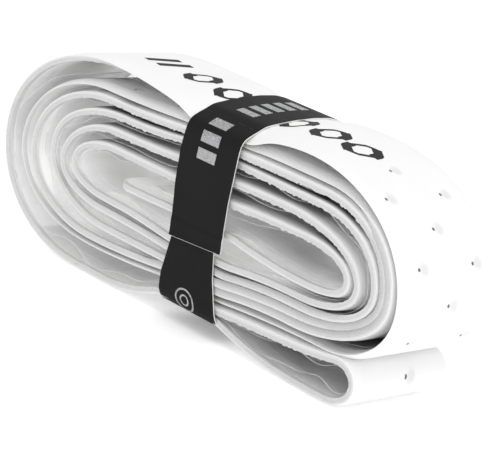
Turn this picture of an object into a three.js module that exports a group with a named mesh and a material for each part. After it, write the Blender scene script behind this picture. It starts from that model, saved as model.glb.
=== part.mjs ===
// Replacement grip tape for a racket handle, wound flat into a roll and held at its waist by a paper belly band.
// Millimetres, +Z up. X runs along the roll, Y across the tape's width. The origin is on the surface that the roll
// lies on, under the middle of its box. The tape lies with its felt side inwards, so the smooth face is outside.
import * as THREE from "three";

// ---- driving dimensions ----

const TAPE_WIDTH = 25.5;
const TAPE_THICKNESS = 1.55;
const FACE_THICKNESS = 0.75; // foamed polyurethane
const FELT_THICKNESS = 0.63; // non-woven backing
const ADHESIVE_THICKNESS = 0.04;
const ADHESIVE_WIDTH = 11.5;
const LINER_THICKNESS = 0.03; // clear film that is peeled off before the tape is used
const LINER_WIDTH = 20;
const PLY_GAP = 0.03; // between the plies of the laminate

const BAND_X = 4.6; // middle of the belly band, along the roll
const BAND_WIDTH = 13.8;
const BAND_THICKNESS = 0.3;
const BAND_CLEARANCE = 0.3; // between the tape and the paper
const BAND_SLIP = 1; // how far the band slips each way before the lobes hold it
const FLAP_END_Z = 15.9; // the free end of the band, on the front
const FLAP_OVERLAP = 3.6; // how far the free end covers the band's other end
const CREASE_GAP = 0.3;
const GLUE_THICKNESS = 0.15;
const GLUE_GAP = 0.05;

// The heights below are those of the tape's felt side. Each turn goes round a left bend, over the upper run, round a
// right bend and back along the lower run. A run has a height over each lobe and a height at the waist.
// A bend is two quarter ellipses that meet where it reaches out furthest: at x and z, on centres at in and out.
const WAIST = { left: BAND_X - BAND_WIDTH / 2 - BAND_SLIP, right: BAND_X + BAND_WIDTH / 2 + BAND_SLIP };

// The outer end of the tape lies under the roll, face up, and turns back below it in a narrow loop.
const OUTER_END = { start: 1, waist: 5.2, right: 7.6 };
const LOOP = { x: 46.4, z: 4.9, in: 42, out: 41 };
const FOOT = { leftFrom: -27, leftTo: -18, rightFrom: 35, z: TAPE_THICKNESS, waist: 4.85 };

const TURNS = [
  {
    leftBend: { x: -52.6, z: 21.5, in: -27, out: -26.8 },
    upper: { left: 40.5, waist: 37.85, right: 40.4 },
    rightBend: { x: 52.3, z: 20.4, in: 26, out: 39 },
    lower: { right: 10.4, waist: 8.4, left: 6.5 },
  },
  {
    leftBend: { x: -47.9, z: 20.6, in: -25.7, out: -26.6 },
    upper: { left: 35.5, waist: 36.1, right: 36.3 },
    rightBend: { x: 50.1, z: 21.5, in: 32, out: 37 },
    lower: { right: 12, waist: 10, left: 8.2 },
  },
  {
    leftBend: { x: -44.3, z: 20.7, in: -24.6, out: -24.6 },
    upper: { left: 33.8, waist: 34.45, right: 34.6 },
    rightBend: { x: 48.3, z: 21.5, in: 32.6, out: 36 },
    lower: { right: 13.7, waist: 11.6, left: 10.6 },
  },
  {
    leftBend: { x: -38.4, z: 22.2, in: -20.5, out: -20.5 },
    upper: { left: 31.4, waist: 32.3, right: 32.4 },
    rightBend: { x: 46.5, z: 21.6, in: 32, out: 33 },
    lower: { right: 15.3, waist: 13.3, left: 13.8 },
  },
  {
    leftBend: { x: -35.3, z: 20, in: -21.4, out: -21.4 },
    upper: { left: 28.7, waist: 29.1, right: 29.4 },
    rightBend: { x: 42.6, z: 21.3, in: 28.6, out: 32 },
    lower: { right: 16.9, waist: 15.3, left: 16.2 },
  },
  {
    leftBend: { x: -32, z: 20.4, in: -21.3, out: -21.3 },
    upper: { left: 25.4, waist: 25.2, right: 25.7 },
    rightBend: { x: 40.4, z: 21.6, in: 30.5, out: 30 },
    lower: { right: 19.3, waist: 20.9, left: 21.3 },
  },
];
const INNER_END_X = -17.8;

const BEND_STEPS = 7; // straight steps to a quarter of a bend
const LOBE_STEPS = 3; // steps between a lobe and the waist
const LOBE_EASE = 2; // how quickly a run rises away from the waist

// ---- the tape's path ----

// A quarter ellipse about (centre.x, reach.z) from the run's height to the bend's furthest point, or back again.
function quarterBend(centreX, reach, runZ, towardsReach) {
  const points = [];
  for (let step = 0; step <= BEND_STEPS; step++) {
    const turned = step / BEND_STEPS;
    const angle = (Math.PI / 2) * (towardsReach ? 1 - turned : turned);
    const x = centreX + (reach.x - centreX) * Math.cos(angle);
    const z = reach.z + (runZ - reach.z) * Math.sin(angle);
    points.push(new THREE.Vector2(x, z));
  }
  return points;
}

function bend(shape, zIn, zOut) {
  const goingIn = quarterBend(shape.in, shape, zIn, true);
  const comingOut = quarterBend(shape.out, shape, zOut, false);
  return [...goingIn, ...comingOut.slice(1)];
}

// The points between a lobe's end and the waist, both left out.
function lobeSlope(lobeX, lobeZ, waistX, waistZ) {
  const points = [];
  for (let step = 1; step < LOBE_STEPS; step++) {
    const fromWaist = 1 - step / LOBE_STEPS;
    const risen = 1 - (1 - fromWaist) ** LOBE_EASE;
    const x = waistX + (lobeX - waistX) * fromWaist;
    points.push(new THREE.Vector2(x, waistZ + (lobeZ - waistZ) * risen));
  }
  return points;
}

function upperRun(run, fromX, toX) {
  return [
    ...lobeSlope(fromX, run.left, WAIST.left, run.waist),
    new THREE.Vector2(WAIST.left, run.waist),
    new THREE.Vector2(WAIST.right, run.waist),
    ...lobeSlope(toX, run.right, WAIST.right, run.waist).reverse(),
  ];
}

function lowerRun(run, fromX, toX) {
  return [
    ...lobeSlope(fromX, run.right, WAIST.right, run.waist),
    new THREE.Vector2(WAIST.right, run.waist),
    new THREE.Vector2(WAIST.left, run.waist),
    ...lobeSlope(toX, run.left, WAIST.left, run.waist).reverse(),
  ];
}

function tapePath() {
  const points = [new THREE.Vector2(OUTER_END.start, OUTER_END.waist)];
  points.push(new THREE.Vector2(WAIST.right, OUTER_END.waist));
  points.push(...lobeSlope(LOOP.in, OUTER_END.right, WAIST.right, OUTER_END.waist).reverse());
  points.push(...bend(LOOP, OUTER_END.right, FOOT.z));

  // The lowest run stands on a flat foot under each lobe.
  const foot = { left: FOOT.z, waist: FOOT.waist, right: FOOT.z };
  points.push(new THREE.Vector2(FOOT.rightFrom, FOOT.z));
  points.push(...lowerRun(foot, FOOT.rightFrom, FOOT.leftTo));
  points.push(new THREE.Vector2(FOOT.leftTo, FOOT.z));

  let below = FOOT.z;
  TURNS.forEach((turn, index) => {
    const last = index === TURNS.length - 1;
    points.push(...bend(turn.leftBend, below, turn.upper.left));
    points.push(...upperRun(turn.upper, turn.leftBend.out, turn.rightBend.in));
    points.push(...bend(turn.rightBend, turn.upper.right, turn.lower.right));
    const nextX = last ? INNER_END_X : TURNS[index + 1].leftBend.in;
    points.push(...lowerRun(turn.lower, turn.rightBend.out, nextX));
    below = turn.lower.left;
  });
  points.push(new THREE.Vector2(INNER_END_X, below));
  return points;
}

// The unit normal on the left of a step along the path, which is the side of the smooth face.
function stepNormal(from, to) {
  const along = new THREE.Vector2().subVectors(to, from).normalize();
  return new THREE.Vector2(-along.y, along.x);
}

// The path moved outwards, with mitred corners so that the distance holds along every step.
function offsetPath(path, distance) {
  return path.map((point, index) => {
    const before = index > 0 ? stepNormal(path[index - 1], point) : null;
    const after = index < path.length - 1 ? stepNormal(point, path[index + 1]) : null;
    const normal = new THREE.Vector2().addVectors(before ?? after, after ?? before).normalize();
    const mitre = distance / normal.dot(before ?? after);
    return normal.multiplyScalar(mitre).add(point);
  });
}

// ---- meshes ----

function namedMesh(name, geometry, material) {
  const mesh = new THREE.Mesh(geometry, material);
  mesh.name = name;
  return mesh;
}

// A closed outline in X and Z, extruded along Y and centred on the roll's middle plane.
function extrudeAcross(outline, width) {
  const geometry = new THREE.ExtrudeGeometry(new THREE.Shape(outline), { depth: width, bevelEnabled: false });
  geometry.rotateX(Math.PI / 2);
  geometry.translate(0, width / 2, 0);
  return geometry;
}

// One ply of the laminate: it lies between two distances from the felt side of the path.
function plyGeometry(path, inner, thickness, width) {
  const near = offsetPath(path, inner);
  const far = offsetPath(path, inner + thickness);
  return extrudeAcross([...near, ...far.reverse()], width);
}

function tapePlies() {
  const path = tapePath();
  const adhesiveFrom = LINER_THICKNESS + PLY_GAP;
  const feltFrom = adhesiveFrom + ADHESIVE_THICKNESS + PLY_GAP;
  const faceFrom = TAPE_THICKNESS - FACE_THICKNESS;
  const felt = new THREE.MeshStandardMaterial({ color: 0xdadad8, roughness: 0.95, metalness: 0 });
  const face = new THREE.MeshStandardMaterial({ color: 0xf4f4f2, roughness: 0.45, metalness: 0 });
  const liner = new THREE.MeshStandardMaterial({ color: 0xe8e8e8, roughness: 0.2, metalness: 0 });
  const adhesive = new THREE.MeshStandardMaterial({ color: 0xe2e1dc, roughness: 0.5, metalness: 0 });
  return [
    namedMesh("face_layer", plyGeometry(path, faceFrom, FACE_THICKNESS, TAPE_WIDTH), face),
    namedMesh("felt_backing", plyGeometry(path, feltFrom, FELT_THICKNESS, TAPE_WIDTH), felt),
    namedMesh("adhesive_strip", plyGeometry(path, adhesiveFrom, ADHESIVE_THICKNESS, ADHESIVE_WIDTH), adhesive),
    namedMesh("release_liner", plyGeometry(path, 0, LINER_THICKNESS, LINER_WIDTH), liner),
  ];
}

// A closed outline in Y and Z, extruded along X over the band's width or a part of it.
function extrudeAlong(outline, width) {
  const geometry = new THREE.ExtrudeGeometry(new THREE.Shape(outline), { depth: width, bevelEnabled: false });
  geometry.rotateY(Math.PI / 2);
  geometry.rotateX(Math.PI / 2);
  geometry.translate(BAND_X - width / 2, 0, 0);
  return geometry;
}

function rectangle(y0, z0, y1, z1) {
  return [
    new THREE.Vector2(y0, z0),
    new THREE.Vector2(y1, z0),
    new THREE.Vector2(y1, z1),
    new THREE.Vector2(y0, z1),
  ];
}

function beltPieces() {
  const paper = new THREE.MeshStandardMaterial({ color: 0x1c1c1e, roughness: 0.6, metalness: 0 });
  const glue = new THREE.MeshStandardMaterial({ color: 0xd8d4c4, roughness: 0.4, metalness: 0 });

  const side = TAPE_WIDTH / 2 + BAND_CLEARANCE;
  const top = TURNS[0].upper.waist + TAPE_THICKNESS + BAND_CLEARANCE;
  const bottom = FOOT.waist - TAPE_THICKNESS - BAND_CLEARANCE;
  const outerSide = side + BAND_THICKNESS;
  const flapInner = outerSide + GLUE_THICKNESS + 2 * GLUE_GAP;
  const flapOuter = flapInner + BAND_THICKNESS;
  const outerTop = top + BAND_THICKNESS;
  const outerBottom = bottom - BAND_THICKNESS;
  const lowerEndZ = FLAP_END_Z + FLAP_OVERLAP;

  // The strip from the front crease over the top, down the back, under the roll and up the front to its inner end.
  const strip = [
    new THREE.Vector2(-flapInner + CREASE_GAP, outerTop),
    new THREE.Vector2(outerSide, outerTop),
    new THREE.Vector2(outerSide, outerBottom),
    new THREE.Vector2(-outerSide, outerBottom),
    new THREE.Vector2(-outerSide, lowerEndZ),
    new THREE.Vector2(-side, lowerEndZ),
    new THREE.Vector2(-side, bottom),
    new THREE.Vector2(side, bottom),
    new THREE.Vector2(side, top),
    new THREE.Vector2(-flapInner + CREASE_GAP, top),
  ];
  const flap = rectangle(-flapOuter, FLAP_END_Z, -flapInner, outerTop);
  const glueFrom = -outerSide - GLUE_GAP - GLUE_THICKNESS;
  const spot = rectangle(glueFrom, FLAP_END_Z + 0.6, -outerSide - GLUE_GAP, lowerEndZ - 0.6);
  return [
    namedMesh("belly_band", extrudeAlong(strip, BAND_WIDTH), paper),
    namedMesh("band_flap", extrudeAlong(flap, BAND_WIDTH), paper),
    namedMesh("glue_spot", extrudeAlong(spot, BAND_WIDTH - 4), glue),
  ];
}

const roll = new THREE.Group();
roll.add(...tapePlies());
roll.add(...beltPieces());

// The frame's origin is under the middle of the whole box.
const box = new THREE.Box3().setFromObject(roll);
const middle = box.getCenter(new THREE.Vector3());
roll.position.set(-middle.x, -middle.y, -box.min.z);

export default roll;
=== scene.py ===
import math

import bpy
import numpy as np
from mathutils import Matrix, Vector


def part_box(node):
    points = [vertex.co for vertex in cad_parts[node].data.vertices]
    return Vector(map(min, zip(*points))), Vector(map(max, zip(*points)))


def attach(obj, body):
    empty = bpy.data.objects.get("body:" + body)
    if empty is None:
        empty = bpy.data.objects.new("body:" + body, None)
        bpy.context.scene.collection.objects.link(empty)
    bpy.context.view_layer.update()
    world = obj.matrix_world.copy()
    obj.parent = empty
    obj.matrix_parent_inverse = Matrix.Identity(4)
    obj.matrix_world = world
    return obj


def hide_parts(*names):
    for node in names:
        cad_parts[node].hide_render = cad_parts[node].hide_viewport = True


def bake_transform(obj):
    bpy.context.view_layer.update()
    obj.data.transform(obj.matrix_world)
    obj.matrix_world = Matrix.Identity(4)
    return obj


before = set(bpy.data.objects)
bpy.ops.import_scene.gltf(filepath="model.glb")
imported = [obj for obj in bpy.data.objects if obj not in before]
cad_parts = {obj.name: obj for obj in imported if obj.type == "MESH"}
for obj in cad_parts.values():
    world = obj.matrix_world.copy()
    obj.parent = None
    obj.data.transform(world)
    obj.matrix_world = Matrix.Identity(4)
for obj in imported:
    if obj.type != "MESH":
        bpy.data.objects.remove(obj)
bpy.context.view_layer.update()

# Everything below is in millimetres in the CAD's frame, and meshes are written in metres.
MM = 0.001


def box_mm(node):
    low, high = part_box(node)
    return np.array(low) / MM, np.array(high) / MM


face_low, face_high = box_mm("face_layer")
band_low, band_high = box_mm("belly_band")
flap_low, flap_high = box_mm("band_flap")

TAPE_WIDTH = 25.5
HALF_WIDTH = TAPE_WIDTH / 2
TAPE_THICKNESS = 1.55
MIDDLE_Y = (face_low[1] + face_high[1]) / 2
BAND_MIDDLE_X = (band_low[0] + band_high[0]) / 2

# ---- camera ----

# The angles and the distance are from a point inside the roll.
CAMERA_AZIMUTH = math.radians(42.218)
CAMERA_ELEVATION = math.radians(14.918)
CAMERA_ROLL = math.radians(10.805)
CAMERA_DISTANCE = 380.08
CAMERA_TARGET = Vector((4.99, MIDDLE_Y, 19.2))
CAMERA_LENS = 146.1
ROLL_TILT = math.radians(1.71)  # the roll lies flat on its feet, and the photo tilts it by this much


def place_camera():
    azimuth, elevation, roll = CAMERA_AZIMUTH, CAMERA_ELEVATION, CAMERA_ROLL
    back = Vector(
        (
            math.sin(azimuth) * math.cos(elevation),
            -math.cos(azimuth) * math.cos(elevation),
            math.sin(elevation),
        )
    )
    level = Vector((0, 0, 1)).cross(back).normalized()
    upright = back.cross(level)
    right = math.cos(roll) * level + math.sin(roll) * upright
    up = -math.sin(roll) * level + math.cos(roll) * upright
    tilt = Matrix.Rotation(-ROLL_TILT, 3, "Y")
    right, up, back = tilt @ right, tilt @ up, tilt @ back
    turn = Matrix((right, up, back)).transposed().to_4x4()
    camera_data = bpy.data.cameras.new("camera")
    camera_data.lens = CAMERA_LENS
    camera_data.sensor_width = 36
    camera_data.clip_start = 0.01
    camera_data.clip_end = 20
    camera = bpy.data.objects.new("camera", camera_data)
    place = (CAMERA_TARGET + CAMERA_DISTANCE * back) * MM
    camera.matrix_world = Matrix.Translation(place) @ turn
    bpy.context.scene.collection.objects.link(camera)
    bpy.context.scene.camera = camera


place_camera()

# ---- the tape's path, seen from the front ----

SHIFT_X = BAND_MIDDLE_X - 4.6
WAIST_LEFT = -3.3
WAIST_RIGHT = 12.5

# The outer end lies under the roll, face up, and turns back below it in a narrow loop.
OUTER_END = [(1, 5.3), (12.5, 5.3), (19, 5.75), (25.5, 6.15), (34, 6.7), (38.5, 7.25), (41.5, 7.75)]
LOOP = {"x": 46.4, "z": 4.9, "in": 42.6, "out": 41, "top": 8.1}
FOOT = {"left_to": -18, "right_from": 35, "z": TAPE_THICKNESS, "waist": (4.85, 4.85)}

# Heights of the felt side. Each turn is a left bend, an upper run, a right bend and a lower run.
# A bend is (x, z, in, out). A run has a height at each lobe and a pair of heights where it meets the band:
# an upper run is (left, (left, right), right) and a lower run is (right, (right, left), left).
TURNS = [
    (
        (-52.6, 21.5, -27, -26.8),
        (40.4, (37.95, 38.0), 40.15),
        (51.8, 20.4, 26.3, 38.6),
        (9.95, (8.45, 7.95), 6.5),
    ),
    (
        (-47.9, 20.6, -25.7, -26.6),
        (35.5, (36.35, 36.4), 36.65),
        (49.95, 21.5, 31, 30.5),
        (11.6, (10.05, 9.5), 8.1),
    ),
    (
        (-44.3, 20.7, -24.6, -24.6),
        (33.85, (34.75, 34.8), 35.0),
        (48.3, 21.5, 31.8, 31),
        (13.2, (11.65, 11.1), 11.05),
    ),
    (
        (-38.4, 22.2, -20.5, -20.5),
        (31.6, (32.75, 32.7), 32.7),
        (46.5, 21.6, 31.5, 31),
        (14.85, (13.3, 13.55), 14.3),
    ),
    (
        (-35.3, 20, -21.4, -21.4),
        (28.5, (29.15, 29.35), 29.65),
        (42.6, 21.3, 24.5, 30.5),
        (16.5, (15.25, 15.25), 16.5),
    ),
    (
        (-32, 20.4, -21.3, -21.3),
        (25.2, (25.25, 25.5), 26.1),
        (40.4, 21.6, 30.5, 31.5),
        (19.15, (20.7, 20.8), 20.5),
    ),
]
INNER_END_X = -20.2

BEND_STEPS = 30
LOBE_STEPS = 14


def quarter_bend(centre_x, reach_x, reach_z, run_z, towards_reach):
    points = []
    for step in range(BEND_STEPS + 1):
        turned = step / BEND_STEPS
        angle = math.pi / 2 * ((1 - turned) if towards_reach else turned)
        x = centre_x + (reach_x - centre_x) * math.cos(angle)
        z = reach_z + (run_z - reach_z) * math.sin(angle)
        points.append((x, z))
    return points


def bend(shape, z_in, z_out):
    """The points of a bend between two runs at the given heights."""
    x, z, centre_in, centre_out = shape
    going_in = quarter_bend(centre_in, x, z, z_in, True)
    coming_out = quarter_bend(centre_out, x, z, z_out, False)
    return going_in + coming_out[1:]


def lobe_slope(lobe_x, lobe_z, waist_x, waist_z):
    """The points of a run from its lobe down to where it meets the band, without the two ends."""
    points = []
    for step in range(1, LOBE_STEPS):
        from_waist = 1 - step / LOBE_STEPS
        risen = 1 - (1 - from_waist) ** 2
        points.append((waist_x + (lobe_x - waist_x) * from_waist, waist_z + (lobe_z - waist_z) * risen))
    return points


def upper_run(run, from_x, to_x):
    left, waist, right = run
    return (
        lobe_slope(from_x, left, WAIST_LEFT, waist[0])
        + [(WAIST_LEFT, waist[0]), (WAIST_RIGHT, waist[1])]
        + lobe_slope(to_x, right, WAIST_RIGHT, waist[1])[::-1]
    )


def lower_run(run, from_x, to_x):
    right, waist, left = run
    return (
        lobe_slope(from_x, right, WAIST_RIGHT, waist[0])
        + [(WAIST_RIGHT, waist[0]), (WAIST_LEFT, waist[1])]
        + lobe_slope(to_x, left, WAIST_LEFT, waist[1])[::-1]
    )


def rough_path():
    """The path's corner points, and the index at which each turn begins."""
    points = list(OUTER_END)
    loop_shape = (LOOP["x"], LOOP["z"], LOOP["in"], LOOP["out"])
    points += bend(loop_shape, LOOP["top"], FOOT["z"])
    points.append((FOOT["right_from"], FOOT["z"]))
    points += lower_run((FOOT["z"], FOOT["waist"], FOOT["z"]), FOOT["right_from"], FOOT["left_to"])
    points.append((FOOT["left_to"], FOOT["z"]))
    below = FOOT["z"]
    for index, (left_bend, upper, right_bend, lower) in enumerate(TURNS):
        points += bend(left_bend, below, upper[0])
        points += upper_run(upper, left_bend[3], right_bend[2])
        points += bend(right_bend, upper[2], lower[0])
        last = index == len(TURNS) - 1
        next_x = INNER_END_X if last else TURNS[index + 1][0][2]
        points += lower_run(lower, right_bend[3], next_x)
        below = lower[2]
    points.append((INNER_END_X, below))
    return np.array(points)


def spaced(points, step):
    """The same line with its points an equal step apart."""
    along = np.concatenate([[0], np.cumsum(np.linalg.norm(np.diff(points, axis=0), axis=1))])
    at = np.linspace(0, along[-1], int(along[-1] / step) + 1)
    return np.stack([np.interp(at, along, points[:, axis]) for axis in range(points.shape[1])], axis=1)


def smoothed(points, sigma, step):
    """The line with its corners rounded, and its ends left where they are."""
    reach = int(4 * sigma / step)
    kernel = np.exp(-0.5 * (np.arange(-reach, reach + 1) * step / sigma) ** 2)
    kernel /= kernel.sum()
    start = points[0] + (points[0] - points[1]) * np.arange(reach, 0, -1)[:, None]
    end = points[-1] + (points[-1] - points[-2]) * np.arange(1, reach + 1)[:, None]
    longer = np.concatenate([start, points, end])
    columns = [np.convolve(column, kernel, "valid") for column in longer.T]
    return np.stack(columns, axis=1)


FINE_STEP = 0.2
STATION_STEP = 0.7
SMOOTHING = 1.1
fine = smoothed(spaced(rough_path(), FINE_STEP), SMOOTHING, FINE_STEP)
path = spaced(fine, STATION_STEP)
path[:, 0] += SHIFT_X
station_x = path[:, 0]
tangent = np.gradient(path, axis=0)
tangent /= np.linalg.norm(tangent, axis=1)[:, None]
normal = np.stack([-tangent[:, 1], tangent[:, 0]], axis=1)
along = np.concatenate([[0], np.cumsum(np.linalg.norm(np.diff(path, axis=0), axis=1))])
TAPE_LENGTH = float(along[-1])


def ramp(value, start, length):
    """0 up to the start, and 1 from a length further on."""
    return np.clip((value - start) / length, 0, 1)


def wave(at, seed, wavelengths, amplitude=1.0):
    """A smooth random wave of about unit height along the tape."""
    random = np.random.default_rng(seed)
    total = np.zeros_like(at, dtype=float)
    for wavelength in wavelengths:
        phase = random.uniform(0, 2 * math.pi)
        total += np.sin(2 * math.pi * at / wavelength + phase) * random.uniform(0.6, 1.0)
    return amplitude * total / len(wavelengths)


def nearest_station(x, z):
    """The way along the tape at which its smooth face passes nearest to a point."""
    outer = path + normal * TAPE_THICKNESS
    return float(along[np.argmin(np.hypot(outer[:, 0] - x, outer[:, 1] - z))])


CURL_FROM = nearest_station(-43, 36)
CURL_TO = nearest_station(46, 34)

# The turns don't lie quite level with each other at the front.
setback = wave(along, 3, (210, 131, 77), 0.35)

# ---- meshes ----


def add_object(name, vertices, faces, materials, face_material=None, uv=None, smooth_angle=40, shade=None):
    mesh = bpy.data.meshes.new(name)
    mesh.from_pydata((np.asarray(vertices) * MM).tolist(), [], faces)
    for material in materials:
        mesh.materials.append(material)
    if face_material is not None:
        mesh.polygons.foreach_set("material_index", face_material)
    if uv is not None:
        layer = mesh.uv_layers.new(name="tape")
        corners = np.zeros(len(mesh.loops), np.int32)
        mesh.loops.foreach_get("vertex_index", corners)
        layer.data.foreach_set("uv", np.asarray(uv)[corners].ravel())
    if shade is not None:
        values = mesh.attributes.new("shade", "FLOAT", "POINT")
        values.data.foreach_set("value", np.asarray(shade, float).ravel())
    mesh.validate()
    mesh.shade_smooth()
    mesh.set_sharp_from_angle(angle=math.radians(smooth_angle))
    mesh.update()
    item = bpy.data.objects.new(name, mesh)
    bpy.context.scene.collection.objects.link(item)
    return item


TIP_LENGTH = 4.5
TIP_SHARE = 0.62


def half_width_at(at):
    """Half the tape's width. Its inner end is cut to a narrowing, rounded tip."""
    left = np.clip((TAPE_LENGTH - at) / TIP_LENGTH, 0, 1)
    return HALF_WIDTH * (TIP_SHARE + (1 - TIP_SHARE) * np.sqrt(np.clip(left * (2 - left), 0, 1)))


# The band pulls the roll's front and back edges down, so its top is crowned.
# At each place across Y, its height above a level top: wide round the band, and close to the band's edges.
CROWN_Y = [-13.0, -12.4, -11, -9.5, -8, -4, 0, 4, 8, 11, 12.4, 13.6]
CROWN_WIDE = [0, 0.05, 0.3, 0.6, 0.95, 1.6, 2.05, 2.3, 2.3, 2.1, 1.9, 1.7]
CROWN_EDGES = [-1.6, -1.35, -0.85, -0.45, 0, 0, 0, 0, 0, -0.3, -0.75, -1.3]


def crown_under_band(y):
    return np.interp(y, CROWN_Y, np.add(CROWN_WIDE, CROWN_EDGES))


def crowned(x, y, z):
    """How far the crown raises a point. It fades out away from the band and towards the middle."""
    away = np.abs(x - BAND_MIDDLE_X)
    wide = 1 / (1 + (away / 17) ** 4)
    narrow = 1 / (1 + (away / 9.5) ** 8)
    upper = np.clip((z - 22) / 17, 0, 1.1)
    top = np.clip((z - 36.5) / 2.5, 0, 1.1)
    raised = np.interp(y, CROWN_Y, CROWN_WIDE) * wide * upper
    return raised + np.interp(y, CROWN_Y, CROWN_EDGES) * narrow * top


def curled_share(at):
    """How far the outermost turn's front edge curls down along its upper run, from 0 to 1."""
    return ramp(at, CURL_FROM, 30) * ramp(-at, -CURL_TO, 14)


def curl(at, across, height):
    """The front edge curls down, with its felt and the foot of its cut face tucked under the smooth face."""
    share = curled_share(at) * (across < -0.83 * HALF_WIDTH)
    to_edge = ramp(-across / HALF_WIDTH, 0.83, 0.17) ** 1.5
    tucked = 2.2 * share * np.clip(1.25 - height, 0, None) * (across < -0.88 * HALF_WIDTH)
    return across + tucked, height * (1 - 0.55 * share * to_edge)


def surface(at, across, height):
    """Points in space from the way along the tape, the way across it and the height above its felt side."""
    x = np.interp(at, along, station_x) + np.interp(at, along, normal[:, 0]) * height
    z = np.interp(at, along, path[:, 1]) + np.interp(at, along, normal[:, 1]) * height
    y = MIDDLE_Y + across + np.interp(at, along, setback)
    return np.stack([x, y, z + crowned(x, y, z)], axis=-1)


def sweep(name, section, materials, segment_material, change=None, stations=None, shading=None):
    """A closed section swept along the tape. Its points are (across, height), and across is a share of half
    the width. change moves them, and shading gives the painted light and shade value of each."""
    at = along if stations is None else stations
    section = np.array(section)
    count, ring = len(at), len(section)
    across = section[None, :, 0] * half_width_at(at)[:, None]
    height = np.repeat(section[None, :, 1], count, axis=0)
    grid_at = np.repeat(at[:, None], ring, axis=1)
    if change:
        across, height = change(grid_at, across, height)
    across, height = curl(grid_at, across, height)
    vertices = surface(grid_at, across, height).reshape(-1, 3)
    faces, face_material = [], []
    for station in range(count - 1):
        for corner in range(ring):
            after = (corner + 1) % ring
            first, second = station * ring, (station + 1) * ring
            faces.append((first + corner, second + corner, second + after, first + after))
            face_material.append(segment_material[corner])
    faces.append(tuple(range(ring)))
    faces.append(tuple(range((count - 1) * ring, count * ring))[::-1])
    face_material += [segment_material[-1]] * 2
    uv = np.stack([grid_at, across], axis=-1).reshape(-1, 2)
    shade = shading(grid_at, across, height) if shading else None
    return add_object(name, vertices, faces, materials, face_material, uv, shade=shade)


# ---- materials ----


class Nodes:
    """A material's node tree, with short calls for the nodes that the materials use."""

    def __init__(self, name):
        self.material = bpy.data.materials.new(name)
        self.material.use_nodes = True
        self.tree = self.material.node_tree
        self.shader = self.tree.nodes["Principled BSDF"]
        self.output = self.tree.nodes["Material Output"]

    def node(self, kind, **settings):
        made = self.tree.nodes.new(kind)
        for key, value in settings.items():
            setattr(made, key, value)
        return made

    def feed(self, socket, value):
        if isinstance(value, bpy.types.NodeSocket):
            self.tree.links.new(value, socket)
        elif isinstance(value, tuple) and len(value) == 3 and len(socket.default_value) == 4:
            socket.default_value = (*value, 1)
        else:
            socket.default_value = value

    def math(self, operation, *values):
        made = self.node("ShaderNodeMath", operation=operation)
        for index, value in enumerate(values):
            self.feed(made.inputs[index], value)
        return made.outputs[0]

    def ramp(self, value, low, high, out_low, out_high):
        made = self.node("ShaderNodeMapRange", interpolation_type="SMOOTHSTEP")
        for index, number in enumerate((value, low, high, out_low, out_high)):
            self.feed(made.inputs[index], number)
        return made.outputs[0]

    def mix(self, share, first, second):
        made = self.node("ShaderNodeMix", data_type="RGBA")
        self.feed(made.inputs[0], share)
        self.feed(made.inputs[6], first)
        self.feed(made.inputs[7], second)
        return made.outputs[2]

    def noise(self, scale, detail=2.0, roughness=0.5, vector=None):
        made = self.node("ShaderNodeTexNoise")
        made.inputs["Scale"].default_value = scale
        made.inputs["Detail"].default_value = detail
        made.inputs["Roughness"].default_value = roughness
        self.feed(made.inputs["Vector"], vector if vector is not None else self.place())
        return made.outputs["Fac"]

    def place(self):
        return self.node("ShaderNodeNewGeometry").outputs["Position"]

    def tape_place(self):
        """The way along the tape and the way across it, in millimetres."""
        made = self.node("ShaderNodeUVMap", uv_map="tape")
        split = self.node("ShaderNodeSeparateXYZ")
        self.feed(split.inputs[0], made.outputs[0])
        return split.outputs[0], split.outputs[1]

    def shade(self):
        """The painted light and shade that the mesh carries, from -1, the deepest painted shade, to 1, the
        most painted glow.
        """
        return self.node("ShaderNodeAttribute", attribute_name="shade").outputs["Fac"]

    def painted_glow_and_shade(self, strength, colour=(1.0, 1.0, 0.995)):
        """Adds painted glow as emission. Returns how much painted shade darkens the point instead, from 0 to
        1.
        """
        lit = self.math("MULTIPLY", self.math("MAXIMUM", self.shade(), 0.0), strength)
        self.set(Emission_Color=colour, Emission_Strength=lit)
        return self.math("MULTIPLY", self.math("MINIMUM", self.shade(), 0.0), -1.0)

    def bump(self, height, distance, strength=1.0, normal=None):
        made = self.node("ShaderNodeBump")
        made.inputs["Distance"].default_value = distance
        made.inputs["Strength"].default_value = strength
        self.feed(made.inputs["Height"], height)
        if normal is not None:
            self.feed(made.inputs["Normal"], normal)
        return made.outputs[0]

    def set(self, **values):
        for name, value in values.items():
            self.feed(self.shader.inputs[name.replace("_", " ")], value)
        return self.material


# Painted glow keeps the roll's hollows from going dark. These are the strengths of that painted light, and
# the grey of the painted shade.
FELT_PAINTED_GLOW = 0.2
FACE_PAINTED_GLOW = 0.25
PAINTED_SHADE_GREY = (0.2, 0.2, 0.2)

HOLE_ROW_STEP = 6.3
HOLE_ACROSS = 0.286 * TAPE_WIDTH
HOLE_RADIUS = 0.34
DIMPLE_RADIUS = 1.5
DIMPLE_ACROSS = 1.5  # each hole's dimple, with the shade painted in it, lies this far beside the hole
HOLE_DRIFT = 1.8  # the rows wander across the tape by this much, once every drift length
HOLE_DRIFT_LENGTH = 90
HOLE_DRIFT_FROM = 15.5


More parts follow.
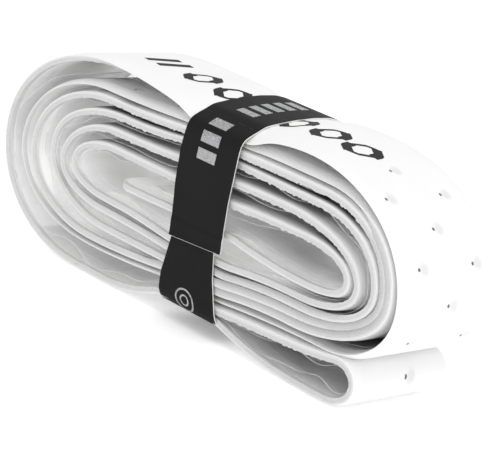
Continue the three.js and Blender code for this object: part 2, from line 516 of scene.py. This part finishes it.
def hole_distance(nodes, hole_start, loop_start, plain_from, plain_to, beside_hole=0.0):
    """The distance to the nearest air hole. Rows of two and rows of one take turns. The print has none."""
    way, across = nodes.tape_place()
    period = 2 * HOLE_ROW_STEP
    before_print = nodes.math("LESS_THAN", way, plain_from)
    start = nodes.math("MULTIPLY_ADD", before_print, loop_start - hole_start, hole_start)
    drift_way = nodes.math("SUBTRACT", way, hole_start + HOLE_DRIFT_FROM)
    drift = nodes.math("SINE", nodes.math("MULTIPLY", drift_way, math.tau / HOLE_DRIFT_LENGTH))
    across = nodes.math("SUBTRACT", across, nodes.math("MULTIPLY_ADD", drift, HOLE_DRIFT, beside_hole))

    def from_row(offset):
        from_start = nodes.math("SUBTRACT", nodes.math("SUBTRACT", way, start), offset)
        turns = nodes.math("DIVIDE", from_start, period)
        nearest_row = nodes.math("ROUND", turns)
        return nodes.math("MULTIPLY", nodes.math("SUBTRACT", turns, nearest_row), period)

    def length(first, second):
        squares = nodes.math("ADD", nodes.math("POWER", first, 2.0), nodes.math("POWER", second, 2.0))
        return nodes.math("SQRT", squares)

    beside = nodes.math("SUBTRACT", nodes.math("ABSOLUTE", across), HOLE_ACROSS)
    pair = length(from_row(0.0), beside)
    single = length(from_row(HOLE_ROW_STEP), across)
    nearest = nodes.math("MINIMUM", pair, single)
    after = nodes.math("GREATER_THAN", way, plain_from)
    before = nodes.math("LESS_THAN", way, plain_to)
    plain = nodes.math("MULTIPLY", nodes.math("MULTIPLY", after, before), 50.0)
    return nodes.math("ADD", nearest, plain)


def face_material(*hole_layout):
    nodes = Nodes("tape_face")
    grain = nodes.noise(2600, 3.0, 0.6)
    waves = nodes.noise(120, 2.0)
    distance = hole_distance(nodes, *hole_layout)
    beside = hole_distance(nodes, *hole_layout, DIMPLE_ACROSS)
    dimple = nodes.ramp(beside, 0.3, DIMPLE_RADIUS, 0.0, 1.0)
    hole = nodes.ramp(distance, HOLE_RADIUS * 0.7, HOLE_RADIUS * 1.15, 0.0, 1.0)
    tint = nodes.mix(waves, (0.84, 0.84, 0.84), (0.88, 0.88, 0.88))
    # Painted shade: the dimple's shade and the dark of the narrow gaps are mixed into the colour, and the
    # second turn gets painted glow.
    dimple_painted_shade = nodes.math("MULTIPLY", nodes.math("SUBTRACT", 1.0, dimple), 0.6)
    tint = nodes.mix(dimple_painted_shade, tint, (0.66, 0.66, 0.66))
    tint = nodes.mix(nodes.painted_glow_and_shade(FACE_PAINTED_GLOW, (1.0, 1.0, 1.0)), tint, (0.05, 0.05, 0.052))
    colour = nodes.mix(hole, (0.12, 0.12, 0.12), tint)
    relief = nodes.bump(dimple, 0.0002, 1.0)
    relief = nodes.bump(grain, 0.00001, 0.5, relief)
    rough = nodes.ramp(grain, 0.3, 0.7, 0.42, 0.55)
    return nodes.set(Base_Color=colour, Roughness=rough, Normal=relief, Specular_IOR_Level=0.4)


def cut_material():
    nodes = Nodes("tape_cut")
    pores = nodes.noise(6000, 2.0, 0.6)
    colour = nodes.mix(nodes.ramp(pores, 0.35, 0.6, 0.0, 1.0), (0.68, 0.68, 0.678), (0.75, 0.75, 0.748))
    return nodes.set(Base_Color=colour, Roughness=0.75, Normal=nodes.bump(pores, 0.00004, 0.7))


def felt_material():
    nodes = Nodes("felt")
    fibres = nodes.noise(3800, 4.0, 0.7)
    clumps = nodes.noise(700, 3.0, 0.6)
    share = nodes.math("MULTIPLY", fibres, nodes.math("ADD", clumps, 0.5))
    colour = nodes.mix(nodes.ramp(share, 0.25, 0.75, 0.0, 1.0), (0.82, 0.82, 0.815), (0.95, 0.95, 0.945))
    # Painted glow and painted shade, from the mesh's shade values.
    colour = nodes.mix(nodes.painted_glow_and_shade(FELT_PAINTED_GLOW), colour, PAINTED_SHADE_GREY)
    relief = nodes.bump(fibres, 0.00015, 0.8)
    nodes.set(Sheen_Weight=0.3, Specular_IOR_Level=0.1)
    return nodes.set(Base_Color=colour, Roughness=0.95, Normal=relief)


def felt_edge_material():
    """The felt's cut edge, painted greyer towards the foot of its fibres where another turn shades it:
    painted shade. It also gets painted glow.
    """
    nodes = Nodes("felt_edge")
    fibres = nodes.noise(5200, 3.0, 0.7)
    light = nodes.mix(nodes.ramp(fibres, 0.3, 0.7, 0.0, 1.0), (0.6, 0.6, 0.597), (0.7, 0.7, 0.697))
    colour = nodes.mix(nodes.painted_glow_and_shade(FELT_PAINTED_GLOW), light, (0.4, 0.4, 0.4))
    relief = nodes.bump(fibres, 0.0001, 0.7)
    return nodes.set(Base_Color=colour, Roughness=0.95, Normal=relief, Specular_IOR_Level=0.1)


def adhesive_material():
    nodes = Nodes("adhesive")
    smears = nodes.noise(300, 2.0, 0.5)
    colour = nodes.mix(smears, (0.84, 0.84, 0.83), (0.93, 0.93, 0.92))
    # Painted glow and painted shade, from the mesh's shade values.
    colour = nodes.mix(nodes.painted_glow_and_shade(FELT_PAINTED_GLOW), colour, PAINTED_SHADE_GREY)
    return nodes.set(Base_Color=colour, Roughness=0.35, Normal=nodes.bump(smears, 0.0001, 0.3))


def liner_material():
    nodes = Nodes("clear_film")
    creases = nodes.noise(260, 2.0, 0.5)
    return nodes.set(
        Base_Color=(0.9, 0.9, 0.91),
        Roughness=nodes.ramp(creases, 0.3, 0.7, 0.12, 0.3),
        Alpha=0.15,
        Normal=nodes.bump(creases, 0.0003, 0.3),
    )


def film_edge_material():
    nodes = Nodes("film_edge")
    breaks = nodes.noise(420, 2.0, 0.6)
    colour = nodes.mix(breaks, (0.8, 0.8, 0.8), (0.95, 0.95, 0.95))
    # A faint glow on the film's edge: painted light.
    nodes.set(Emission_Color=(1.0, 1.0, 1.0), Emission_Strength=0.06)
    return nodes.set(Base_Color=colour, Roughness=0.25, Alpha=nodes.ramp(breaks, 0.3, 0.5, 0.5, 0.95))


def print_material():
    nodes = Nodes("print_ink")
    speckle = nodes.noise(9000, 2.0)
    colour = nodes.mix(speckle, (0.008, 0.008, 0.009), (0.02, 0.02, 0.021))
    return nodes.set(Base_Color=colour, Roughness=0.55, Specular_IOR_Level=0.15)


def paper_material():
    nodes = Nodes("black_paper")
    fibres = nodes.noise(2500, 3.0, 0.6)
    sheen = nodes.noise(90, 2.0)
    colour = nodes.mix(fibres, (0.009, 0.009, 0.0095), (0.015, 0.015, 0.0155))
    rough = nodes.ramp(sheen, 0.3, 0.7, 0.48, 0.56)
    relief = nodes.bump(fibres, 0.00002, 0.5)
    return nodes.set(Base_Color=colour, Roughness=rough, Normal=relief, Specular_IOR_Level=0.07)


def plain_paper_material():
    nodes = Nodes("paper_back")
    fibres = nodes.noise(2500, 3.0, 0.6)
    colour = nodes.mix(fibres, (0.72, 0.72, 0.7), (0.84, 0.84, 0.82))
    return nodes.set(Base_Color=colour, Roughness=0.85, Normal=nodes.bump(fibres, 0.00003, 0.5))


def silver_material():
    nodes = Nodes("silver_ink")
    flakes = nodes.noise(7000, 2.0, 0.7)
    colour = nodes.mix(nodes.ramp(flakes, 0.4, 0.62, 0.0, 1.0), (0.16, 0.16, 0.165), (0.62, 0.62, 0.63))
    return nodes.set(Base_Color=colour, Roughness=0.4, Metallic=0.6)


def glue_material():
    nodes = Nodes("dry_glue")
    lumps = nodes.noise(900, 2.0)
    colour = nodes.mix(lumps, (0.6, 0.57, 0.46), (0.74, 0.71, 0.6))
    return nodes.set(Base_Color=colour, Roughness=0.35, Normal=nodes.bump(lumps, 0.0001, 0.5))


way_print_from = nearest_station(-40, 38.5)
way_print_to = nearest_station(34, 41)
way_hole = way_print_from + 82.6
way_loop_hole = nearest_station(47.4, 6.0) - HOLE_ROW_STEP

face_look = face_material(way_hole, way_loop_hole, way_print_from, way_print_to)
cut_look = cut_material()
felt_look = felt_material()
felt_edge_look = felt_edge_material()
adhesive_look = adhesive_material()
liner_look = liner_material()
film_edge_look = film_edge_material()
ink_look = print_material()
paper_look = paper_material()
paper_back_look = plain_paper_material()
silver_look = silver_material()
glue_look = glue_material()

# ---- the tape's plies ----

FELT_TOP = 0.76
BEVEL_WIDTH = 2.1
BEVEL_DROP = 0.32
ADHESIVE_HALF = 7.7
FILM_HALF = 12.0
FILM_RIM = 0.17
FUZZ_STEP = 0.35
NO_TURN_AHEAD = 20.0  # the gap where no other turn lies ahead
SAME_TURN = 15  # stations nearer than this along the tape aren't another turn


def gap_to_next(from_line, to_line, direction):
    """The free height at each station from one line along a direction to the nearest other turn's line."""
    gap = np.full(len(path), NO_TURN_AHEAD)
    for index in range(len(path)):
        away = to_line - from_line[index]
        height = away @ direction[index]
        beside = np.abs(away @ tangent[index])
        other = (np.abs(along - along[index]) > SAME_TURN) & (height > -0.4) & (beside < 0.8)
        if other.any():
            gap[index] = max(height[other].min(), 0)
    return gap


smooth_side = path + normal * TAPE_THICKNESS
gap_outside = gap_to_next(smooth_side, path, normal)
gap_to_smooth_side = gap_to_next(path, smooth_side, -normal)
gap_to_felt_side = gap_to_next(path, path + normal * 0.01, -normal)
gap_inside = np.minimum(gap_to_smooth_side, gap_to_felt_side)

# ---- painted light and shade between the turns, at each station and then at each point ----

# Where the felt faces up or to the right, and where the tape is part of an upper run, from 0 to 1.
felt_faces_up = np.clip(-normal[:, 1], 0, 1)
felt_faces_right = np.clip(-normal[:, 0], 0, 1)
on_upper_run = ramp(normal[:, 1], 0.8, 0.15) * (1 - ramp(np.abs(station_x - BAND_MIDDLE_X), 34, 12))

# Stretches of the tape, by the way along it. Only the last 90 mm can hold the last right bend.
way_last_bend = float(along[np.argmax(np.where(along > TAPE_LENGTH - 90, station_x, -100))])
in_loop = along <= nearest_station(-40, 1)
on_first_turn = along < 330
before_second_turn = along <= CURL_TO + 60
on_second_turn = ~before_second_turn & (along < CURL_TO + 236)
by_left_hollow = along > TAPE_LENGTH - 190
in_right_hollow = along > way_last_bend - 8


def bump_at(x, reach):
    """1 at a place along X, and less away from it."""
    return np.exp(-(((station_x - x) / reach) ** 2))


def face_painted_shade():
    """Painted shade darkens the smooth face in the narrow gaps between upper runs. On the second turn it
    gets painted glow, with painted shade round x = -20.
    """
    narrow = ramp(gap_outside, 0.05, 0.25) * (1 - ramp(gap_outside, 1.0, 2.4))
    dark = 0.98 * narrow * on_upper_run
    lit = 0.45 * on_upper_run * ramp(gap_outside, 0.8, 1.5) * np.maximum(ramp(station_x, 13, 15), 0.1)
    lit -= 0.35 * bump_at(-20, 4)
    return np.where(before_second_turn, 0, np.where(on_second_turn, lit, -dark))


def felt_painted_shade():
    """Painted shade: deep in the loop, where the lower runs leave the right bends, and at the upper left."""
    level = ramp(-normal[:, 1], 0.3, 0.4)
    wedge = 0.85 * level * ramp(station_x, 24, 10) * ramp(gap_inside, 0.2, 0.4) * ~in_right_hollow
    loop = 0.5 * level * ramp(station_x, 6, 26)
    upper_left = (along < way_print_from + 60) & (normal[:, 1] > 0.2)
    return np.where(in_loop, loop, wedge) + 0.55 * upper_left * bump_at(-34, 8)


def felt_painted_glow():
    """Painted glow on the felt: most where the felt faces up or to the right and has room."""
    up = 1.4 * felt_faces_up * ramp(gap_inside, 0.3, 1.0)
    right = np.where(on_first_turn, 0.6, 0.95) * felt_faces_right * ramp(gap_inside, 0.1, 0.5)
    wide_open = 0.12 * ramp(gap_inside, 2, 6)
    light = np.maximum(up + right, wide_open) * np.where(in_loop, 0.35, 1.0)
    return light * (1 - np.clip(1.2 * felt_painted_shade(), 0, 1))


painted_shade_of_face = face_painted_shade()
painted_shade_of_felt = felt_painted_shade()
painted_glow_of_felt = felt_painted_glow()
# How the painted glow fades with depth in the two hollows, and the painted shade at the foot of the felt's
# cut edge.
painted_glow_fades_inwards = in_right_hollow * ramp(station_x, -6, 26) + 0.5 * by_left_hollow * ramp(-station_x, 5, 10)
painted_foot_shade = np.clip(0.5 + 0.5 * felt_faces_up - on_upper_run, 0, 1) * (1 - ramp(gap_inside, 0.25, 0.5))


def painted_shade_on_face(at, across, height):
    """The painted shade begins further in from the edge where the gap is wider."""
    from_edge = HALF_WIDTH - np.abs(across)
    gap = np.interp(at, along, np.clip(gap_outside, 0, 3))
    return np.interp(at, along, painted_shade_of_face) * ramp(from_edge, 0.25 * gap, 0.25 + 0.9 * gap)


def painted_light_and_shade_inside(at, across, height):
    """Painted light and painted shade both grow inwards from the edges. In the hollows the painted light
    fades further in.
    """
    from_edge = HALF_WIDTH - np.abs(across)
    facing = np.interp(at, along, felt_faces_right)
    near = ramp(from_edge, 0.4 * (1 - facing), 2.4 - 1.9 * facing)
    far = np.clip(1 - (from_edge - 2) / 8, 0.12, 1)
    fading = 1 + (far - 1) * np.interp(at, along, painted_glow_fades_inwards)
    dark = ramp(from_edge, 1.5, 6) * np.interp(at, along, painted_shade_of_felt)
    return near * fading * np.interp(at, along, painted_glow_of_felt) - dark


def painted_light_and_shade_on_felt(at, across, height):
    """The felt's cut edge also gets painted shade at its foot, except where it hangs free above a gap."""
    foot = np.clip(1 - height / 0.55, 0, 1) * (np.abs(across) > 0.95 * HALF_WIDTH)
    return painted_light_and_shade_inside(at, across, height) - foot * np.interp(at, along, painted_foot_shade)


# ---- the plies' meshes ----


def build_face():
    """The smooth face, with bevelled long edges that show the foam where they are cut."""
    edge = 1 - BEVEL_WIDTH / HALF_WIDTH
    top = TAPE_THICKNESS
    left_half = [
        (-1, FELT_TOP + 0.12),
        (-0.998, top - BEVEL_DROP - 0.08),
        (-0.992, top - BEVEL_DROP),
        (-0.95, top - BEVEL_DROP * 0.66),
        (-0.90, top - BEVEL_DROP * 0.34),
        (-edge - 0.012, top - 0.07),
        (-edge, top - 0.075),
        (-edge + 0.015, top - 0.02),
        (-edge + 0.05, top),
    ]
    left_half += [(-across, top) for across in (0.72, 0.55, 0.27, 0.08)]
    outer = left_half + [(-across, height) for across, height in reversed(left_half)]
    under = [(across, FELT_TOP) for across in (0.998, 0.5, 0, -0.5, -0.998)]
    section = outer + under
    looks = [1] + [0] * (len(outer) - 3) + [1] * (len(under) + 2)

    def uneven(at, across, height):
        return across, height + wave(at, 11, (9.7, 6.1, 14.3), 0.02) * (height > 1.4)

    made = sweep("tape_face", section, [face_look, cut_look], looks, uneven, shading=painted_shade_on_face)
    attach(made, "roll")
    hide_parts("face_layer")
    return made


def build_felt():
    """The felt's long edges are fuzzy, and they fill the chamfer of the next turn where the two touch."""
    low, high = 0.1, FELT_TOP - 0.01
    middle = (low + high) / 2
    section = [(-1, 0), (-1, middle), (-1, high), (-0.5, high), (0, high), (0.5, high), (1, high)]
    section += [(1, middle), (1, 0), (0.97, 0)]
    section += [(across, low) for across in (0.9, 0.75, 0.5, 0, -0.5, -0.75, -0.9)]
    section += [(-0.97, 0)]
    looks = [1] * 2 + [0] * 4 + [1] * 4 + [0] * 6 + [1] * 2
    fill = np.clip(0.46 - gap_inside, 0, 0.4)
    fuzz = 0.3 + 0.7 * on_upper_run

    def fuzzy(at, across, height):
        random = np.random.default_rng(5)
        at_edge = np.abs(across) > 0.96 * HALF_WIDTH
        lower = at_edge & (height < 0.2)
        across = across + np.sign(across) * at_edge * (random.normal(0, 0.04, at.shape) - 0.05)
        height = height + random.normal(0, 0.012, at.shape) * (height < 0.5)
        tufts = np.clip(random.normal(0, 0.1, at.shape), -0.24, 0.09) * np.interp(at, along, fuzz)
        return across, height + lower * (tufts - np.interp(at, along, fill))

    stations = np.linspace(0, TAPE_LENGTH, int(TAPE_LENGTH / FUZZ_STEP))
    materials = [felt_look, felt_edge_look]
    made = sweep("felt", section, materials, looks, fuzzy, stations, painted_light_and_shade_on_felt)
    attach(made, "roll")
    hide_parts("felt_backing")
    return made


def build_adhesive():
    half = ADHESIVE_HALF / HALF_WIDTH
    section = [(-half, 0.055), (-half, 0.09), (half, 0.09), (half, 0.055), (0.2, 0.05), (-0.2, 0.05)]
    looks = [0] * len(section)
    made = sweep("adhesive", section, [adhesive_look], looks, stations=along[:-12], shading=painted_light_and_shade_inside)
    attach(made, "roll")
    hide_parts("adhesive_strip")
    return made


def build_liner():
    """The film buckles away from the felt wherever the turns leave it room."""
    buckle = np.clip(wave(along, 21, (37, 23, 14.5, 61), 3.2) + 0.9, 0, None)
    buckle *= np.where(gap_inside > 6, 0.25, 1.0)
    for start, height, reach in ((way_print_from + 5, 3.2, 9), (way_print_from + 27, 2.2, 8)):
        buckle = buckle + height * np.exp(-(((along - start) / reach) ** 2))
    lift = np.minimum(buckle, np.clip(gap_inside * 0.7 - 0.15, 0, 3.4))
    kernel = np.exp(-0.5 * (np.arange(-8, 9) * STATION_STEP / 1.8) ** 2)
    lift = np.convolve(lift, kernel / kernel.sum(), "same")
    lift = np.minimum(lift, np.clip(gap_inside - 0.12, 0, None))
    half, rim = FILM_HALF / HALF_WIDTH, (FILM_HALF - FILM_RIM) / HALF_WIDTH
    across = [-half, -rim, -0.3, 0, 0.3, rim, half]
    section = [(place, 0.03) for place in across] + [(place, 0.0) for place in reversed(across)]
    looks = [1, 0, 0, 0, 0, 1, 1, 1, 0, 0, 0, 0, 1, 1]

    def buckled(at, across, height):
        lean = 1 + 0.25 * np.sin(at / 11) * across / HALF_WIDTH
        return across, height - np.interp(at, along, lift) * lean

    made = sweep("clear_film", section, [liner_look, film_edge_look], looks, buckled, stations=along[10:-14])
    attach(made, "roll")
    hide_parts("release_liner")
    return made


tape_face = build_face()
felt = build_felt()
adhesive = build_adhesive()
liner = build_liner()

# ---- the print on the tape ----


def stroke_on_tape(points, width, height):
    """A printed stroke through (way, across) points, as a strip of quads that follows the smooth face."""
    points = spaced(np.array(points, float), 0.4)
    direction = np.gradient(points, axis=0)
    direction /= np.linalg.norm(direction, axis=1)[:, None]
    side = np.stack([-direction[:, 1], direction[:, 0]], axis=1) * width / 2
    edges = np.concatenate([points + side, points - side])
    vertices = surface(edges[:, 0], edges[:, 1], height)
    count = len(points)
    faces = [(index, index + 1, count + index + 1, count + index) for index in range(count - 1)]
    return vertices, faces


# The way along the tape from where the print begins, and the way across, of each mark's middle.
PRINT_PLACES = [(16, -0.2), (26.3, -0.8), (35.2, -1.2), (44, -1.5), (53.5, -1.6), (62, -2.2), (69.5, -2)]
PRINT_BARS = (0, 3)  # which of the marks are pairs of bars
PRINT_HALF_LENGTH = 2.6
PRINT_HALF_HEIGHT = 3.1
INK = 0.03


def build_print():
    """Generic marks in a row along the outermost turn: lozenges with an open middle, and slanting bars."""
    vertices, faces = [], []

    def add(points, width):
        made, quads = stroke_on_tape(points, width, TAPE_THICKNESS + INK)
        first = sum(len(group) for group in vertices)
        vertices.append(made)
        faces.extend(tuple(index + first for index in quad) for quad in quads)

    for index, (way, across) in enumerate(PRINT_PLACES):

        def at(way_share, across_share):
            at_way = way_print_from + way + PRINT_HALF_LENGTH * way_share
            return at_way, across + PRINT_HALF_HEIGHT * across_share

        if index in PRINT_BARS:
            add([at(-1.1, -1.1), at(-0.3, 1.2)], 1.8)
            add([at(0.3, -1.2), at(1.1, 1.1)], 1.8)
        else:
            add([at(-1.0, -0.1), at(-0.5, 0.8), at(0.2, 1.1)], 0.8)
            add([at(0.1, 1.1), at(0.9, 0.6), at(1.0, 0.0)], 1.9)
            add([at(1.0, 0.1), at(0.5, -0.8), at(-0.2, -1.1)], 0.8)
            add([at(-0.1, -1.1), at(-0.9, -0.6), at(-1.0, 0.0)], 1.9)
    made = add_object("print_marks", np.concatenate(vertices), faces, [ink_look])
    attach(made, "roll")
    return made


print_marks = build_print()

# ---- the belly band ----

PAPER = 0.24
PAPER_INK = 0.025
PAPER_STEP = 0.4
WORN_END = 0.05  # the flap's cut end shows the paper's pale back for this far
CORNER_RADIUS = 2.8
TOP_OF_ROLL = 39.62  # at the band, before the crown
CREASE_FROM_FRONT = 3.6
FLAP_BULGE_FROM = 0.87
BAND_COLUMNS = np.array([0, 0.12, 0.3, 0.5, 0.7, 0.88, 1.0])


def rounded_line(corners, radii, steps=8):
    """A line of (y, z) points with its inner corners rounded."""
    points = [np.array(corners[0], float)]
    for index in range(1, len(corners) - 1):
        before, at, after = (np.array(corners[index + offset], float) for offset in (-1, 0, 1))
        radius = radii[index - 1]
        start = at + (before - at) / np.linalg.norm(before - at) * radius
        end = at + (after - at) / np.linalg.norm(after - at) * radius
        for step in range(steps + 1):
            share = step / steps
            points.append((1 - share) ** 2 * start + 2 * share * (1 - share) * at + share**2 * end)
    points.append(np.array(corners[-1], float))
    return np.array(points)


class Strip:
    """A strip of paper along a line of (y, z) points, with edges along X at shares of its length."""

    def __init__(self, line, left_edge, right_edge, bulge=None, skew=0.0):
        self.line = spaced(line, PAPER_STEP)
        self.left_edge, self.right_edge = left_edge, right_edge
        self.bulge, self.skew = bulge, skew
        direction = np.gradient(self.line, axis=0)
        direction /= np.linalg.norm(direction, axis=1)[:, None]
        self.outward = np.stack([direction[:, 1], -direction[:, 0]], axis=1)
        self.share = np.linspace(0, 1, len(self.line))
        self.length = PAPER_STEP * (len(self.line) - 1)

    def place(self, share, column, lift):
        """A point of the strip, a little off its back by the lift."""
        left = np.interp(share, *zip(*self.left_edge))
        right = np.interp(share, *zip(*self.right_edge))
        lift = lift + (self.bulge(share) if self.bulge else 0)
        y, z = (
            np.interp(share, self.share, self.line[:, axis])
            + np.interp(share, self.share, self.outward[:, axis]) * lift
            for axis in (0, 1)
        )
        z = z + self.skew * column * np.clip((share - 0.5) / 0.5, 0, 1) ** 3
        x = left + (right - left) * column
        return np.stack(np.broadcast_arrays(x, y, z), axis=-1)

    def build(self, name, worn_end=False):
        share = self.share
        if worn_end:
            share = np.insert(share, -1, 1 - WORN_END / self.length)
        grid_share, grid_column = np.meshgrid(share, BAND_COLUMNS, indexing="ij")
        sides = [self.place(grid_share, grid_column, lift).reshape(-1, 3) for lift in (0, PAPER)]
        count, columns, total = len(share), len(BAND_COLUMNS), grid_share.size
        faces, looks = [], []

        def add(quad, look):
            faces.append(quad)
            looks.append(look)

        for row in range(count - 1):
            for column in range(columns - 1):
                first, second = row * columns + column, (row + 1) * columns + column
                add((first, second, second + 1, first + 1), 1)
                worn = worn_end and row == count - 2
                add((total + first, total + first + 1, total + second + 1, total + second), int(worn))
            for column, flip in ((0, False), (columns - 1, True)):
                first, second = row * columns + column, (row + 1) * columns + column
                quad = (first, total + first, total + second, second)
                add(quad[::-1] if flip else quad, 1)
        for row, flip in ((0, True), (count - 1, False)):
            for column in range(columns - 1):
                first = row * columns + column
                quad = (first, total + first, total + first + 1, first + 1)
                add(quad[::-1] if flip else quad, 1)
        materials = [paper_look, paper_back_look]
        return add_object(name, np.concatenate(sides), faces, materials, looks, smooth_angle=50)

    def marks(self, name, strokes):
        """Printed marks. A stroke is a list of (distance along, column) pairs of its two edges."""
        vertices, faces = [], []
        for left, right in strokes:
            first = sum(len(group) for group in vertices)
            for edge in (left, right):
                edge = np.array(edge, float)
                vertices.append(self.place(edge[:, 0] / self.length, edge[:, 1], PAPER + PAPER_INK))
            count = len(left)
            faces += [
                (first + index, first + index + 1, first + count + index + 1, first + count + index)
                for index in range(count - 1)
            ]
        return add_object(name, np.concatenate(vertices), faces, [silver_look])


def bar(distance, length, column, width, slant=0.0):
    """A printed bar whose long side lies across the strip."""
    steps = np.linspace(0, 1, 9)
    left = [(distance + length * step, column - width / 2 + slant * step) for step in steps]
    right = [(distance + length * step, column + width / 2 + slant * step) for step in steps]
    return left, right


def ring(distance, column, radius, thickness, strip_width):
    """A printed ring, as its outer and its inner edge."""

    def circle(size):
        angles = np.linspace(0, math.tau, 33)
        return [(distance + size * math.cos(a), column + size * math.sin(a) / strip_width) for a in angles]

    return circle(radius), circle(radius - thickness)


# The strip's edges, as (share of its length, place along X). Its lower part was glued a little askew.
STRIP_LEFT = [(0, -1.4), (0.03, -1.5), (0.07, -2.0), (0.11, -2.5), (0.14, -2.3), (0.17, -1.4)]
STRIP_LEFT += [(0.22, 0.2), (0.4, 0.0), (0.7, -1.8), (0.86, -2.7), (1, -2.7)]
STRIP_RIGHT = [(0, 9.0), (0.08, 10.7), (0.15, 13.2), (0.2, 14.0)]
STRIP_RIGHT += [(0.4, 14), (0.7, 12.4), (0.86, 11.5), (1, 11.3)]
FLAP_LEFT = [(0, -2.7), (0.2, -2.9), (0.35, -3.3), (0.6, -3.0), (0.8, -2.3), (1, -1.6)]
FLAP_RIGHT = [(0, 11.3), (0.3, 11.2), (0.6, 11.1), (0.8, 11.4), (1, 12.0)]


def crown_line(y_from, y_to):
    """The underside of the paper on top of the roll, as (y, z) points."""
    y = np.linspace(y_from, y_to, int(abs(y_to - y_from) / PAPER_STEP) + 2)
    return np.stack([y, TOP_OF_ROLL + crown_under_band(y)], axis=1)


def band_line():
    """From the inner end down the front, back under the roll, up its back and over the top to the flap."""
    front, back = band_low[1] + PAPER, band_high[1] - PAPER
    bottom = band_low[2] + PAPER
    end_z = box_mm("glue_spot")[1][2] + 0.6
    line = rounded_line([(front, end_z), (front, bottom), (back, bottom), (back, 37.4)], [CORNER_RADIUS] * 2)
    over = crown_line(back - 0.7, flap_high[1] + CREASE_FROM_FRONT)
    return smoothed(spaced(np.concatenate([line, over]), 0.2), 0.5, 0.2)


def flap_line():
    """From the top of the roll, round its front corner and down to the free end."""
    y = flap_high[1]
    over = crown_line(y + CREASE_FROM_FRONT, y + 0.9)
    line = np.concatenate([over, [(y + 0.35, 37.7), (y, 36.4), (y, flap_low[2])]])
    return smoothed(spaced(line, 0.2), 0.5, 0.2)


def over_the_end(share):
    """The flap steps out where it lies over the other end, and its own end curls off a little."""
    step = 1 / (1 + np.exp(-(share - FLAP_BULGE_FROM) * 260))
    return 0.16 * step + 0.2 * np.clip((share - 0.93) / 0.07, 0, 1) ** 2


def hinge(made):
    """Bakes the piece's placement into its mesh."""
    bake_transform(made)


# The places of the printed marks, as distances along the paper. The band's bars count from its top end.
BAND_BARS = (17.5, 14.4, 11.3, 8.2, 5.1)
FLAP_BARS = (1.0, 4.3, 7.6)
EMBLEM_AT = 14.2
EMBLEM_COLUMN = 0.47
EMBLEM_STRIP_WIDTH = 12.5


def build_band():
    strip = Strip(band_line(), STRIP_LEFT, STRIP_RIGHT)
    made = strip.build("belly_band_paper")
    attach(made, "band")
    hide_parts("belly_band")
    top_bars = [bar(strip.length - away, 1.9, 0.5, 0.33) for away in BAND_BARS]
    emblem = [
        ring(EMBLEM_AT, EMBLEM_COLUMN, radius, thickness, EMBLEM_STRIP_WIDTH)
        for radius, thickness in ((2.1, 0.32), (1.0, 0.3))
    ]
    marks = strip.marks("band_marks", top_bars + emblem)
    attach(marks, "band")
    return made, marks, strip.length


def build_flap():
    strip = Strip(flap_line(), FLAP_LEFT, FLAP_RIGHT, over_the_end, skew=0.9)
    made = strip.build("flap_paper", worn_end=True)
    hinge(made)
    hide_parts("band_flap")
    marks = strip.marks("flap_marks", [bar(from_top, 2.1, 0.47, 0.33) for from_top in FLAP_BARS])
    hinge(marks)
    return made, marks, strip.length


belly_band, belly_band_marks, belly_band_length = build_band()
flap, flap_marks, flap_length = build_flap()

# ---- the glue spot ----


glue_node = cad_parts["glue_spot"]
glue_node.data.materials.clear()
glue_node.data.materials.append(glue_look)

# ---- floor and light ----

FLOOR_HALF = 3000
FLOOR_GLOW = 0.26  # the photo's ground is blown out to white
WORLD_LIGHT = 0.88


def build_floor():
    nodes = Nodes("floor")
    grain = nodes.noise(40, 2.0)
    white = nodes.mix(grain, (0.93, 0.93, 0.93), (0.95, 0.95, 0.95))
    nodes.set(Base_Color=white, Roughness=0.9)
    nodes.set(Emission_Color=(1.0, 1.0, 1.0), Emission_Strength=FLOOR_GLOW)
    half = FLOOR_HALF
    vertices = [(-half, -half, 0), (half, -half, 0), (half, half, 0), (-half, half, 0)]
    floor = add_object("floor", vertices, [(0, 1, 2, 3)], [nodes.material])


def area_light(name, place, target, size, power):
    """A round light. Places and sizes are in metres, as Blender has them."""
    data = bpy.data.lights.new(name, "AREA")
    data.shape = "DISK"
    data.size = size
    data.energy = power
    light = bpy.data.objects.new(name, data)
    light.location = place
    aim = Vector(target) - Vector(place)
    light.rotation_euler = aim.to_track_quat("-Z", "Y").to_euler()
    bpy.context.scene.collection.objects.link(light)


def light_scene():
    world = bpy.data.worlds.new("studio")
    world.use_nodes = True
    background = world.node_tree.nodes["Background"]
    background.inputs["Color"].default_value = (1, 1, 1, 1)
    background.inputs["Strength"].default_value = WORLD_LIGHT
    bpy.context.scene.world = world
    target = (0, 0, 0.02)
    area_light("top", (0.15, -0.1, 1.0), target, 0.9, 2.2)
    area_light("right", (1.0, -0.1, 0.5), target, 0.6, 1.25)


build_floor()
light_scene()
bpy.context.scene.view_settings.view_transform = "Standard"
bpy.context.scene.view_settings.exposure = 0
